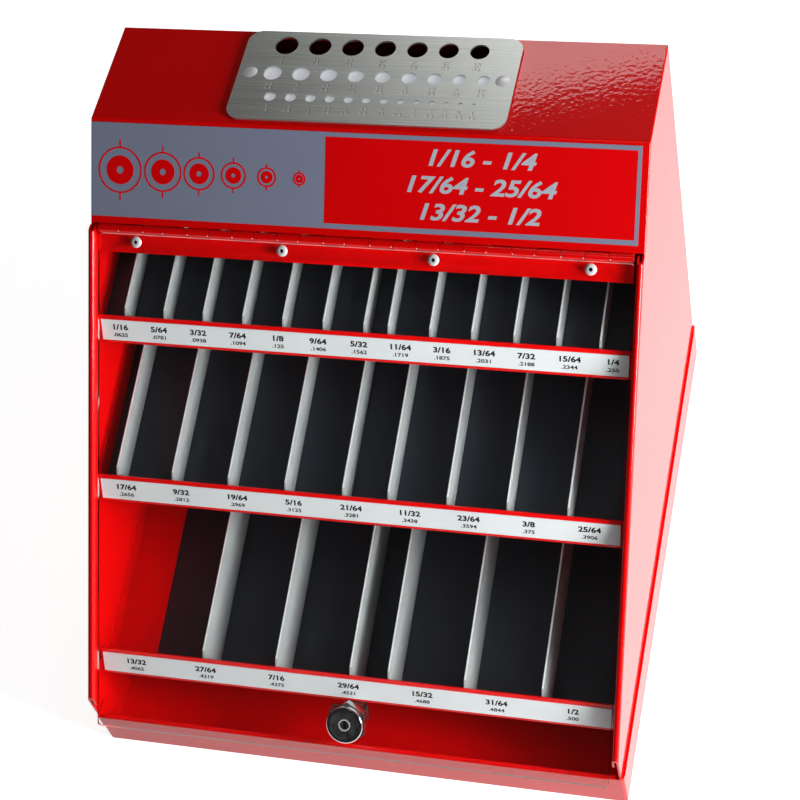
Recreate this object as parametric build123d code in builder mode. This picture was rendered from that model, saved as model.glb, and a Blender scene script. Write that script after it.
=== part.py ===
from build123d import *
import os
from math import atan2, cos, hypot, radians, sin, tan

os.makedirs("parts", exist_ok=True)

# A counter-top steel dispenser for twist drills: a wedge-shaped case with three sloping
# trays of open bins behind a clear door that hangs from a piano hinge and locks with a cam.
# Millimetres. X runs across, Y to the back, Z up. The origin is the centre of the base's
# underside. "down" is a distance along the sloping face from its top bend, and "out" is a
# distance outward from the face.

# Case
case_width = 304.8
case_depth = 304.8
case_height = 276.0
top_depth = 67.6
front_height = 46.93
fascia_length = 56.2
sheet = 1.2
seam_strip = 3.0
flange_width = 13.0
flange_gap = 0.4
corner_notch = 1.4
edge_round = 0.8
hood_bend = 2.2
back_flange = 4.0

# Base pan
base_height = 28.0
pan_overlap = 6.0
pan_bend = 2.0
lip_height = 30.0
lip_hem = 5.0

# Folded front edges of the side panels
hem_proud = 3.0
hem_round = 1.85
hem_leg = 6.5
hem_corner = 4.0
hem_gap = 1.2
relief_width = 2.0
relief_length = 10.5
relief_above_lip = 3.0

# Trays
tray_sheet = 1.0
tray_bend = 1.6
tray_slope = 12.0
tray_flange = 12.0
rim_angle = 60.0
rim_face = 16.4
lower_rim_up = 32.2
middle_rim_up = 133.5
upper_rim_up = 222.9
rim_gap = 0.3
lower_rim_setback = 3.5
upper_drop = 2.0
middle_drop = 5.0
lower_drop = 17.0
upper_run = 106.0
middle_run = 134.0
lower_run = 158.0
tray_end_gap = 0.6

# Liners and dividers
liner_sheet = 0.8
liner_gap = 0.6
lower_liner_left = 25.8
divider_sheet = 1.0
divider_gap = 0.5
divider_rise = 0.8
divider_tip = 3.0
upper_first = 17.7
upper_middle = 13.3
upper_last = 19.4
middle_first = 13.3
middle_middle = 25.4
middle_last = 32.1
lower_first = 63.8
lower_middle = 21.7
lower_last = 42.3

# Label strips
label_end = 1.5
label_height = 12.0
label_sheet = 0.5
label_margin = 2.3

# Sign
sign_left_end = 0.9
sign_right_end = 4.0
sign_height = 50.4
sign_sheet = 0.4
sign_top = 2.0

# Drill gauge
gauge_width = 152.0
gauge_depth = 63.0
gauge_sheet = 1.2
gauge_corner = 8.0
gauge_back_margin = 0.9
gauge_backing = 0.6
backing_margin = 2.0
gauge_row_insets = (10.2, 30.2, 46.9)
gauge_row_left_insets = (22.6, 19.4, 21.9)
gauge_row_right_insets = (22.7, 16.9, 19.1)
gauge_row_sizes = (range(32, 25, -1), range(25, 16, -1), range(16, 3, -1))
sixty_fourth = 25.4 / 64
window_margin = 2.4
gauge_rivet_inset = 6.9
gauge_rivet_head = 3.85
gauge_rivet_dome = 0.4
gauge_rivet_shank = 2.0
gauge_rivet_tail = 3.0
gauge_rivet_tail_height = 1.5
gauge_rivet_gap = 0.05

# Piano hinge
knuckle_pitch = 12.7
knuckle_radius = 2.4
knuckle_gap = 0.3
leaf_sheet = 1.0
leaf_width = 12.7
leaf_gap = 0.4
hinge_below_fascia = 2.8
pin_radius = 1.0
pin_clearance = 0.05

# Clear door
door_side_gap = 1.45
door_overhang = 11.76
door_sheet = 3.0
door_corner = 2.0
door_gap = 0.3
door_rivets = 4
door_rivet_inset = 22.0
door_rivet_down = 6.5
rivet_head = 3.1
rivet_dome = 1.1
rivet_shank = 1.6
rivet_hole = 1.7
rivet_mandrel = 1.05
rivet_mandrel_depth = 2.5
rivet_tail = 2.3
rivet_tail_height = 1.8

# Cam lock
lock_from_bottom = 18.1
lock_flange = 10.3
lock_flange_height = 2.4
lock_flange_round = 0.7
barrel_radius = 8.4
barrel_length = 19.8
barrel_fit = 0.2
thread_pitch = 1.5
thread_depth = 0.5
plug_radius = 6.6
plug_face = 8.0
plug_face_height = 1.2
plug_face_inset = 0.4
plug_clearance = 0.08
keyway_width = 1.6
keyway_height = 5.4
keyway_depth = 9.0
plug_ring = 3.8
plug_ring_width = 0.5
plug_ring_depth = 0.4
nut_flats = 20.6
nut_height = 4.5
cam_sheet = 2.0
cam_width = 8.0
cam_length = 14.5
cam_lobe = 7.6
cam_lobe_rise = 1.8
cam_window_length = 6.2
cam_window_width = 2.2
cam_window_rise = 6.6
cam_corner = 3.0
cam_gap = 0.3
tail_flats = 6.4
cam_fit = 0.1
screw_head = 4.6
screw_head_height = 2.2
screw_slot = 1.2
screw_slot_depth = 1.0

# Places that follow from the sizes
pan_half = case_width / 2
half_width = pan_half - sheet
front_y = -case_depth / 2
pan_back = case_depth / 2
back_y = pan_back - sheet
bend_y = pan_back - top_depth
slope = atan2(case_height - front_height, case_depth - top_depth)
foot_down = hypot(case_height - front_height, case_depth - top_depth)
inner_half = half_width - sheet
hinge_down = fascia_length + hinge_below_fascia
hinge_out = knuckle_radius - sheet - leaf_sheet
door_inner = -sheet
door_outer = door_inner + door_sheet
door_top = hinge_down + knuckle_radius + door_gap
door_bottom = foot_down + door_overhang
door_length = door_bottom - door_top
nose_out = door_outer + hem_proud
hem_inner = half_width - 2 * hem_round
door_width = 2 * (hem_inner - door_side_gap)
knuckle_count = int((door_width + door_side_gap) / knuckle_pitch)
door_rivet_pitch = (door_width - 2 * door_rivet_inset) / (door_rivets - 1)
lock_down = door_bottom - lock_from_bottom
barrel_end = door_outer - barrel_length
hinge_length = knuckle_count * knuckle_pitch


def on_face(down, out):
    """Y and Z of a point given by its distance down the sloping face and out from it."""
    y = bend_y - down * cos(slope) - out * sin(slope)
    z = case_height - down * sin(slope) + out * cos(slope)
    return y, z


def face_plane(down, out, x=0.0):
    """A plane parallel to the sloping face, with its Y up the slope and its Z outward."""
    y, z = on_face(down, out)
    return Plane(origin=(x, y, z), x_dir=(1, 0, 0), z_dir=(0, -sin(slope), cos(slope)))


def slope_section(down):
    """A plane square to the slope, with its X across, its Y outward and its Z downhill."""
    y, z = on_face(down, 0)
    return Plane(origin=(0, y, z), x_dir=(1, 0, 0), z_dir=(0, -cos(slope), -sin(slope)))


def write(part, name):
    """Label a finished piece and write it under its name."""
    part.label = name
    export_step(part, "parts/" + name + ".step")


# Base pan: a shallow folded tray with a higher front lip, around the feet of the panels
panel_bottom = base_height - pan_overlap
with BuildPart() as base_pan:
    with BuildSketch(Plane.XY):
        Rectangle(2 * pan_half, case_depth)
    extrude(amount=lip_height)
    fillet(base_pan.edges().filter_by(Axis.Z), pan_bend)
    fillet(base_pan.faces().sort_by(Axis.Z)[0].edges(), pan_bend)
    offset(amount=-sheet, openings=base_pan.faces().sort_by(Axis.Z)[-1])
    with BuildSketch(Plane.XY.offset(base_height)):
        with Locations((0, front_y + pan_bend + sheet)):
            Rectangle(2 * pan_half, case_depth, align=(Align.CENTER, Align.MIN))
    extrude(amount=lip_height, mode=Mode.SUBTRACT)
    with BuildSketch(Plane.XY.offset(lip_height - lip_hem)):
        with Locations((0, front_y + 1.5 * sheet)):
            Rectangle(2 * (inner_half - pan_bend), sheet)
    extrude(amount=lip_hem)
    lip_top = base_pan.faces().filter_by(Plane.XY).group_by(Axis.Z)[-1].sort_by(Axis.Y)[0]
    fillet(lip_top.edges().filter_by(Axis.X).sort_by(Axis.Y)[0], edge_round)
write(base_pan.part, "base_pan")


# Side panels: a flat plate, a folded hem down the door opening and flanges for hood and back
def flange_band(outer_out, depth, bottom, down_end):
    """Outline of a strip that runs just inside the side panel's back, top and fascia edges."""
    inner = outer_out - depth
    top_outer = case_height + outer_out
    top_inner = case_height + inner
    bend = tan(slope / 2)
    return [
        (back_y + outer_out, bottom),
        (back_y + outer_out, top_outer),
        (bend_y - outer_out * bend, top_outer),
        on_face(down_end, outer_out),
        on_face(down_end, inner),
        (bend_y - inner * bend, top_inner),
        (back_y + inner, top_inner),
        (back_y + inner, bottom),
    ]


hem_start = fascia_length + hem_gap
hem_center_out = nose_out - hem_round
fascia_flange_end = hinge_down - leaf_width - leaf_gap
front_corner_down = (bend_y - front_y) / cos(slope) - hem_center_out * tan(slope)
hem_run = front_corner_down - hem_start
with BuildPart() as side_panel_right:
    with BuildSketch(Plane.YZ.offset(inner_half)):
        with BuildLine():
            Polyline(
                (front_y + pan_bend, panel_bottom),
                (front_y + pan_bend, lip_height + flange_gap),
                (front_y, lip_height + flange_gap),
                on_face(front_corner_down, hem_center_out),
                on_face(hem_start, hem_center_out),
                on_face(hem_start, 0),
                (bend_y, case_height),
                (back_y, case_height),
                (back_y, panel_bottom),
                close=True,
            )
        make_face()
    extrude(amount=sheet)
    bands = ((0, seam_strip, fascia_length), (-sheet, flange_width, fascia_flange_end))
    for outer, reach, down_end in bands:
        with BuildSketch(Plane.YZ.offset(half_width - reach)):
            with BuildLine():
                Polyline(*flange_band(outer, sheet, panel_bottom, down_end), close=True)
            make_face()
        extrude(amount=reach - sheet)
    with BuildSketch(Plane.YZ.offset(half_width - flange_width)):
        with Locations((bend_y, case_height - sheet)):
            Circle(corner_notch)
    extrude(amount=flange_width - seam_strip, mode=Mode.SUBTRACT)
    outer_edges = side_panel_right.faces().sort_by(Axis.X)[-1].edges()
    hood_side_y = on_face(hem_start, 0)[0] + sheet
    fillet(outer_edges.filter_by(lambda edge: edge.center().Y > hood_side_y), edge_round)
    with BuildSketch(slope_section(hem_start)):
        with Locations((half_width - hem_round, hem_center_out)):
            Circle(hem_round)
            Circle(hem_round - sheet, mode=Mode.SUBTRACT)
            Rectangle(
                2 * hem_round, hem_round, align=(Align.CENTER, Align.MAX), mode=Mode.SUBTRACT
            )
        with Locations((hem_inner + sheet / 2, hem_center_out)):
            Rectangle(sheet, hem_leg, align=(Align.CENTER, Align.MAX))
    extrude(amount=hem_run + 2 * hem_round)
    with BuildSketch(Plane.XZ.offset(-front_y)):
        with Locations((half_width, case_height / 2)):
            Rectangle(4 * hem_leg, case_height)
    extrude(amount=4 * hem_round, mode=Mode.SUBTRACT)
    corner_y, corner_z = on_face(hem_start, nose_out)
    with BuildSketch(Plane.YZ.offset(half_width - 2 * hem_round)):
        with BuildLine():
            Polyline(
                on_face(hem_start, nose_out),
                on_face(hem_start + hem_corner, nose_out),
                on_face(hem_start, nose_out - hem_corner),
                close=True,
            )
        make_face()
    extrude(amount=2 * hem_round, mode=Mode.SUBTRACT)
    with BuildSketch(Plane.YZ.offset(inner_half)):
        with Locations((front_y, lip_height + relief_above_lip)):
            SlotOverall(2 * relief_length, relief_width)
    extrude(amount=sheet, mode=Mode.SUBTRACT)
write(side_panel_right.part, "side_panel_right")

with BuildPart() as side_panel_left:
    mirror(side_panel_right.part, about=Plane.YZ)
write(side_panel_left.part, "side_panel_left")

# Back panel: flat, with a flange under the hood
back_half = half_width - seam_strip
with BuildPart() as back_panel:
    with BuildSketch(Plane.YZ.offset(-back_half)):
        with BuildLine():
            Polyline(
                (back_y, panel_bottom),
                (back_y, case_height - sheet),
                (back_y - back_flange, case_height - sheet),
                (back_y - back_flange, case_height - 2 * sheet),
                (back_y - sheet, case_height - 2 * sheet),
                (back_y - sheet, panel_bottom),
                close=True,
            )
        make_face()
    extrude(amount=2 * back_half)
    with BuildSketch(Plane.XY.offset(case_height - 2 * sheet)):
        for side in (-1, 1):
            with Locations((side * half_width, back_y - sheet)):
                Rectangle(
                    2 * (flange_width + flange_gap),
                    2 * flange_width,
                    align=(Align.CENTER, Align.MAX),
                )
    extrude(amount=2 * sheet, mode=Mode.SUBTRACT)
write(back_panel.part, "back_panel")

# Hood: the flat top and the sloping fascia in one folded sheet, with a window for the gauge
gauge_back = back_y - gauge_back_margin
window_y = gauge_back - gauge_row_insets[0]
window_depth = max(gauge_row_sizes[0]) * sixty_fourth + window_margin
window_length = gauge_width - 2 * gauge_row_left_insets[0] + window_depth + window_margin
gauge_rivet_spacing = gauge_width - 2 * gauge_rivet_inset
rivet_row_y = gauge_back - gauge_row_insets[1]
with BuildPart() as hood:
    with BuildSketch(Plane.YZ.offset(-back_half)):
        with BuildLine():
            Polyline(
                (back_y, case_height),
                (bend_y, case_height),
                on_face(fascia_length, 0),
                on_face(fascia_length, -sheet),
                (bend_y + sheet * tan(slope / 2), case_height - sheet),
                (back_y, case_height - sheet),
                close=True,
            )
        make_face()
    extrude(amount=2 * back_half)
    outer_bend = hood.edges().filter_by(Axis.X).filter_by_position(
        Axis.Y, bend_y - edge_round, bend_y + sheet
    )
    fillet(outer_bend.sort_by(Axis.Z)[-1], hood_bend)
    fillet(outer_bend.sort_by(Axis.Z)[0], hood_bend - sheet)
    with BuildSketch(Plane.XY.offset(case_height)):
        with Locations((0, window_y)):
            SlotOverall(window_length, window_depth)
        with Locations((0, rivet_row_y)):
            with GridLocations(gauge_rivet_spacing, 0, 2, 1):
                Circle(gauge_rivet_shank + gauge_rivet_gap)
    extrude(amount=-2 * sheet, mode=Mode.SUBTRACT)
write(hood.part, "hood")


# Trays: label rim, slanting front wall, sloping floor and low back wall, with side flanges
class Tray:
    """The places in one tray's side view, and where its dividers stand."""

    def __init__(self, name, rim_up, setback, drop, run, first, middle, last, left, right):
        self.name = name
        self.rise = tan(radians(tray_slope))
        self.rim = on_face(foot_down - rim_up, door_inner - rim_gap - setback)
        lean = radians(rim_angle)
        self.toe = (self.rim[0] - rim_face * cos(lean), self.rim[1] - rim_face * sin(lean))
        self.heel = (self.toe[0] + drop, self.toe[1] - drop)
        self.back = (self.heel[0] + run, self.heel[1] + run * self.rise)
        self.top_z = self.rim[1] + divider_rise
        self.wall_height = self.top_at(self.back[0]) - divider_rise - self.back[1]
        start = first - inner_half
        used = first + middle + last + divider_sheet
        pitch = (2 * inner_half - used) / (left + right - 2)
        left_group = [start + pitch * n for n in range(left)]
        right_group = [left_group[-1] + middle + pitch * n for n in range(right)]
        self.divider_x = left_group + right_group

    def floor_at(self, y):
        """Underside of the sloping floor at a distance back."""
        return self.heel[1] + (y - self.heel[0]) * self.rise

    def top_at(self, y):
        """Top edge of the dividers, which runs parallel to the floor."""
        return self.top_z + (y - self.rim[0]) * self.rise


trays = [
    Tray("upper", upper_rim_up, 0, upper_drop, upper_run,
         upper_first, upper_middle, upper_last, 7, 6),
    Tray("middle", middle_rim_up, 0, middle_drop, middle_run,
         middle_first, middle_middle, middle_last, 5, 4),
    Tray("lower", lower_rim_up, lower_rim_setback, lower_drop, lower_run,
         lower_first, lower_middle, lower_last, 3, 3),
]
floor_lift = tray_sheet / cos(radians(tray_slope))
liner_lift = liner_sheet / cos(radians(tray_slope))
rim_half = hem_inner - tray_end_gap

for tray in trays:
    with BuildPart() as tray_part:
        with BuildSketch(Plane.YZ.offset(-inner_half)):
            with BuildLine() as fold:
                FilletPolyline(
                    tray.rim,
                    tray.toe,
                    tray.heel,
                    tray.back,
                    (tray.back[0], tray.back[1] + tray.wall_height),
                    radius=tray_bend,
                )
                offset(amount=tray_sheet, side=Side.LEFT)
            make_face()
        extrude(amount=2 * inner_half)
        for side in (-1, 1):
            with BuildSketch(Plane.YZ.offset(side * (inner_half - tray_sheet / 2))):
                with BuildLine():
                    y_start = tray.heel[0] + tray_bend
                    y_end = tray.back[0]
                    Polyline(
                        (y_start, tray.floor_at(y_start)),
                        (y_end, tray.floor_at(y_end)),
                        (y_end, tray.floor_at(y_end) + tray_flange),
                        (y_start + tray_bend, tray.floor_at(y_start + tray_bend) + tray_flange),
                        close=True,
                    )
                make_face()
            extrude(amount=tray_sheet / 2, both=True)
        with BuildSketch(face_plane(0, door_inner - hem_leg - 2 * hem_round)):
            for side in (-1, 1):
                with Locations((side * (rim_half + half_width) / 2, 0)):
                    Rectangle(half_width - rim_half, 2 * case_depth)
        extrude(amount=case_height, mode=Mode.SUBTRACT)
    write(tray_part.part, tray.name + "_tray")

# Black liners on the tray floors, and the dividers that stand on them
for tray in trays:
    liner_start = tray.heel[0] + tray_bend + liner_gap
    liner_end = tray.back[0] - tray_sheet - liner_gap
    left_inset = lower_liner_left if tray.name == "lower" else tray_sheet + liner_gap
    liner_left = -inner_half + left_inset
    liner_right = inner_half - tray_sheet - liner_gap
    with BuildPart() as liner:
        with BuildSketch(Plane.YZ.offset(liner_left)):
            with BuildLine():
                Polyline(
                    (liner_start, tray.floor_at(liner_start) + floor_lift),
                    (liner_end, tray.floor_at(liner_end) + floor_lift),
                    (liner_end, tray.floor_at(liner_end) + floor_lift + liner_lift),
                    (liner_start, tray.floor_at(liner_start) + floor_lift + liner_lift),
                    close=True,
                )
            make_face()
        extrude(amount=liner_right - liner_left)
    write(liner.part, tray.name + "_liner")

    lift = floor_lift + liner_lift
    nose_y = tray.rim[0] + tray_sheet + divider_gap
    for number, x in enumerate(tray.divider_x, start=1):
        with BuildPart() as divider:
            with BuildSketch(Plane.YZ.offset(x)):
                with BuildLine():
                    Polyline(
                        (liner_start, tray.floor_at(liner_start) + lift),
                        (liner_end, tray.floor_at(liner_end) + lift),
                        (liner_end, tray.top_at(liner_end)),
                        (nose_y + divider_tip, tray.top_at(nose_y + divider_tip)),
                        (nose_y, tray.top_at(nose_y) - divider_tip),
                        (nose_y, tray.rim[1] - rim_face / 2),
                        close=True,
                    )
                make_face()
            extrude(amount=divider_sheet)
        write(divider.part, tray.name + "_divider_" + str(number))

# Label strips on the tray rims
for tray in trays:
    lean = radians(rim_angle)
    face = Plane(
        origin=(0, tray.rim[0], tray.rim[1]),
        x_dir=(1, 0, 0),
        z_dir=(0, -sin(lean), cos(lean)),
    )
    with BuildPart() as label_strip:
        with BuildSketch(face):
            with Locations((0, -label_margin - label_height / 2)):
                Rectangle(2 * (rim_half - label_end), label_height)
        extrude(amount=label_sheet)
    write(label_strip.part, tray.name + "_label_strip")

# Sign plate on the fascia
sign_left = -half_width + sign_left_end
sign_right = half_width - sign_right_end
with BuildPart() as sign_plate:
    with BuildSketch(face_plane(sign_top + sign_height / 2, 0, (sign_left + sign_right) / 2)):
        Rectangle(sign_right - sign_left, sign_height)
    extrude(amount=sign_sheet)
write(sign_plate.part, "sign_plate")

# Drill gauge: a holed plate on a light backing sheet, held by two rivets
gauge_center_y = gauge_back - gauge_depth / 2
backing_top = case_height + gauge_backing
gauge_top = backing_top + gauge_sheet
with BuildPart() as gauge_backing_sheet:
    with BuildSketch(Plane.XY.offset(case_height)):
        with Locations((0, gauge_center_y)):
            RectangleRounded(
                gauge_width - 2 * backing_margin,
                gauge_depth - 2 * backing_margin,
                gauge_corner - backing_margin,
            )
        with Locations((0, window_y)):
            SlotOverall(window_length, window_depth, mode=Mode.SUBTRACT)
        with Locations((0, rivet_row_y)):
            with GridLocations(gauge_rivet_spacing, 0, 2, 1):
                Circle(gauge_rivet_shank + gauge_rivet_gap, mode=Mode.SUBTRACT)
    extrude(amount=gauge_backing)
write(gauge_backing_sheet.part, "gauge_backing")

with BuildPart() as gauge_plate:
    with BuildSketch(Plane.XY.offset(backing_top)):
        with Locations((0, gauge_center_y)):
            RectangleRounded(gauge_width, gauge_depth, gauge_corner)
        for inset, left, right, sizes in zip(
            gauge_row_insets, gauge_row_left_insets, gauge_row_right_insets, gauge_row_sizes
        ):
            filled = (sum(sizes) - (sizes[0] + sizes[-1]) / 2) * sixty_fourth
            gap = (gauge_width - left - right - filled) / (len(sizes) - 1)
            hole_x = left - gauge_width / 2
            for size, following in zip(sizes, [*sizes[1:], sizes[-1]]):
                with Locations((hole_x, gauge_back - inset)):
                    Circle(size * sixty_fourth / 2, mode=Mode.SUBTRACT)
                hole_x += (size + following) / 2 * sixty_fourth + gap
        with Locations((0, rivet_row_y)):
            with GridLocations(gauge_rivet_spacing, 0, 2, 1):
                Circle(gauge_rivet_shank + gauge_rivet_gap, mode=Mode.SUBTRACT)
    extrude(amount=gauge_sheet)
write(gauge_plate.part, "gauge_plate")

with BuildPart() as gauge_rivets:
    for x in (-gauge_rivet_spacing / 2, gauge_rivet_spacing / 2):
        with BuildSketch(Plane(origin=(x, rivet_row_y, 0), x_dir=(1, 0, 0), z_dir=(0, -1, 0))):
            with BuildLine():
                tail_z = case_height - sheet
                Polyline(
                    (0, gauge_top + gauge_rivet_dome),
                    (0, tail_z - gauge_rivet_tail_height),
                    (gauge_rivet_tail, tail_z - gauge_rivet_tail_height),
                    (gauge_rivet_tail, tail_z),
                    (gauge_rivet_shank, tail_z),
                    (gauge_rivet_shank, gauge_top),
                    (gauge_rivet_head, gauge_top),
                )
                TangentArc(
                    (0, gauge_top + gauge_rivet_dome),
                    (gauge_rivet_head, gauge_top),
                    tangent=(1, 0),
                )
            make_face()
        revolve(axis=Axis((x, rivet_row_y, 0), (0, 0, 1)))
write(gauge_rivets.part, "gauge_rivets")


# Piano hinge: two leaves with interleaved knuckles on one pin
def knuckle_places(first):
    """Centres across of every second knuckle, from the first one given."""
    left = -hinge_length / 2 + knuckle_pitch / 2
    return [left + knuckle_pitch * n for n in range(first, knuckle_count, 2)]


def hinge_leaf(first, uphill):
    """One leaf: a strip clear of the barrel, tabs that reach it, and its own knuckles."""
    turn = 1 if uphill else -1
    with BuildPart() as leaf:
        with BuildSketch(face_plane(hinge_down, -sheet - leaf_sheet)):
            strip = leaf_width - knuckle_radius - leaf_gap
            with Locations((0, turn * (leaf_width - strip / 2))):
                Rectangle(hinge_length, strip)
            for x in knuckle_places(first):
                with Locations((x, turn * (knuckle_radius + leaf_gap) / 2)):
                    Rectangle(knuckle_pitch - knuckle_gap, knuckle_radius + leaf_gap)
        extrude(amount=leaf_sheet)
        for x in knuckle_places(first):
            y, z = on_face(hinge_down, hinge_out)
            start = x - (knuckle_pitch - knuckle_gap) / 2
            with BuildSketch(Plane.YZ.offset(start)):
                with Locations((y, z)):
                    Circle(knuckle_radius)
            extrude(amount=knuckle_pitch - knuckle_gap)
        with BuildSketch(Plane.YZ.offset(-hinge_length)):
            with Locations(on_face(hinge_down, hinge_out)):
                Circle(pin_radius + pin_clearance)
        extrude(amount=2 * hinge_length, mode=Mode.SUBTRACT)
        if not uphill:
            with BuildSketch(face_plane(hinge_down + door_rivet_down, -sheet)):
                with GridLocations(door_rivet_pitch, 0, door_rivets, 1):
                    Circle(rivet_hole)
            extrude(amount=-leaf_sheet, mode=Mode.SUBTRACT)
    return leaf.part


write(hinge_leaf(0, True), "hinge_upper_leaf")
write(hinge_leaf(1, False), "hinge_lower_leaf")

with BuildPart() as hinge_pin:
    with BuildSketch(Plane.YZ.offset(-hinge_length / 2)):
        with Locations(on_face(hinge_down, hinge_out)):
            Circle(pin_radius)
    extrude(amount=hinge_length)
write(hinge_pin.part, "hinge_pin")

# Clear door
with BuildPart() as door_panel:
    with BuildSketch(face_plane(door_top + door_length / 2, door_inner)):
        RectangleRounded(door_width, door_length, door_corner)
        with Locations((0, door_length / 2 - door_rivet_down + door_top - hinge_down)):
            with GridLocations(door_rivet_pitch, 0, door_rivets, 1):
                Circle(rivet_hole, mode=Mode.SUBTRACT)
        with Locations((0, lock_from_bottom - door_length / 2)):
            Circle(barrel_radius + barrel_fit, mode=Mode.SUBTRACT)
    extrude(amount=door_sheet)
write(door_panel.part, "door_panel")

# Blind rivets that hold the door on the lower leaf
rivet_down = hinge_down + door_rivet_down
leaf_inner = door_inner - leaf_sheet
with BuildPart() as door_rivets_group:
    first_x = -door_rivet_pitch * (door_rivets - 1) / 2
    for n in range(door_rivets):
        place = face_plane(rivet_down, 0, first_x + n * door_rivet_pitch)
        with BuildSketch(Plane(origin=place.origin, x_dir=(1, 0, 0), z_dir=-place.y_dir)):
            with BuildLine():
                Polyline(
                    (rivet_mandrel, door_outer + rivet_dome * 0.9),
                    (rivet_mandrel, door_outer + rivet_dome - rivet_mandrel_depth),
                    (0, door_outer + rivet_dome - rivet_mandrel_depth),
                    (0, leaf_inner - rivet_tail_height),
                    (rivet_tail * 0.7, leaf_inner - rivet_tail_height),
                    (rivet_tail, leaf_inner - rivet_tail_height / 2),
                    (rivet_tail, leaf_inner),
                    (rivet_shank, leaf_inner),
                    (rivet_shank, door_outer),
                    (rivet_head, door_outer),
                )
                ThreePointArc(
                    (rivet_head, door_outer),
                    (rivet_head * 0.72, door_outer + rivet_dome * 0.7),
                    (rivet_mandrel, door_outer + rivet_dome * 0.9),
                )
            make_face()
        revolve(axis=Axis(place.origin, place.z_dir))
write(door_rivets_group.part, "door_rivets")

# Cam lock: housing with a screw thread, its nut, the turning plug, and the cam on its tail
flange_top = door_outer + lock_flange_height
bore_radius = plug_radius + plug_clearance
face_floor = flange_top - plug_face_inset - plug_face_height
with BuildPart() as lock_housing:
    with BuildSketch(face_plane(lock_down, barrel_end)):
        Circle(barrel_radius - thread_depth)
    extrude(amount=door_outer - barrel_end)
    with BuildSketch(face_plane(lock_down, door_outer)):
        Circle(lock_flange)
    extrude(amount=lock_flange_height)
    fillet(
        lock_housing.edges().filter_by(GeomType.CIRCLE).sort_by(
            Axis(face_plane(0, 0).origin, face_plane(0, 0).z_dir)
        )[-1],
        lock_flange_round,
    )
    thread_rings = int((door_outer - barrel_end) / thread_pitch)
    for n in range(thread_rings):
        with BuildSketch(face_plane(lock_down, barrel_end + n * thread_pitch + thread_pitch / 4)):
            Circle(barrel_radius)
        extrude(amount=thread_pitch / 2)
    with BuildSketch(face_plane(lock_down, barrel_end)):
        Circle(bore_radius)
    extrude(amount=barrel_length + lock_flange_height, mode=Mode.SUBTRACT)
    with BuildSketch(face_plane(lock_down, face_floor - plug_clearance)):
        Circle(plug_face + plug_clearance)
    extrude(amount=lock_flange_height, mode=Mode.SUBTRACT)
write(lock_housing.part, "lock_housing")

with BuildPart() as lock_nut:
    with BuildSketch(face_plane(lock_down, door_inner)):
        RegularPolygon(nut_flats / 2, 6, major_radius=False, rotation=90)
        Circle(barrel_radius + pin_clearance, mode=Mode.SUBTRACT)
    extrude(amount=-nut_height)
    chamfer(lock_nut.edges().group_by(SortBy.LENGTH)[0], edge_round / 2)
write(lock_nut.part, "lock_nut")

cam_top = barrel_end - cam_gap
cam_bottom = cam_top - cam_sheet
with BuildPart() as lock_plug:
    with BuildSketch(face_plane(lock_down, barrel_end)):
        Circle(plug_radius)
    extrude(amount=face_floor - barrel_end)
    with BuildSketch(face_plane(lock_down, face_floor)):
        Circle(plug_face)
    extrude(amount=plug_face_height)
    with BuildSketch(face_plane(lock_down, barrel_end)):
        Circle(plug_radius - edge_round)
    extrude(amount=-cam_gap)
    with BuildSketch(face_plane(lock_down, cam_top)):
        Rectangle(tail_flats, tail_flats)
    extrude(amount=-cam_sheet)
    with BuildSketch(face_plane(lock_down, face_floor + plug_face_height)):
        Rectangle(keyway_width, keyway_height)
    extrude(amount=-keyway_depth, mode=Mode.SUBTRACT)
    with BuildSketch(face_plane(lock_down, face_floor + plug_face_height)):
        Circle(plug_ring)
        Circle(plug_ring - plug_ring_width, mode=Mode.SUBTRACT)
    extrude(amount=-plug_ring_depth, mode=Mode.SUBTRACT)
write(lock_plug.part, "lock_plug")

with BuildPart() as lock_cam:
    with BuildSketch(face_plane(lock_down, cam_bottom)):
        Circle(plug_radius + edge_round)
        with Locations((0, cam_lobe_rise)):
            Circle(cam_lobe)
        with Locations((-cam_length / 2, 0)):
            Rectangle(cam_length, cam_width)
        with Locations((0, cam_window_rise)):
            SlotOverall(cam_window_length, cam_window_width, mode=Mode.SUBTRACT)
        Rectangle(tail_flats + 2 * cam_fit, tail_flats + 2 * cam_fit, mode=Mode.SUBTRACT)
    extrude(amount=cam_sheet)
    cam_end = lock_cam.edges().filter_by(Axis(face_plane(0, 0).origin, face_plane(0, 0).z_dir))
    fillet(cam_end.group_by(Axis.X)[0], cam_corner)
write(lock_cam.part, "lock_cam")

with BuildPart() as cam_screw:
    with BuildSketch(face_plane(lock_down, cam_bottom)):
        Circle(screw_head)
    extrude(amount=-screw_head_height)
    with BuildSketch(face_plane(lock_down, cam_bottom - screw_head_height)):
        Rectangle(2 * screw_head, screw_slot)
    extrude(amount=screw_slot_depth, mode=Mode.SUBTRACT)
write(cam_screw.part, "cam_screw")
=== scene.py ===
import math

import bpy
from mathutils import Matrix, Vector


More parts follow.
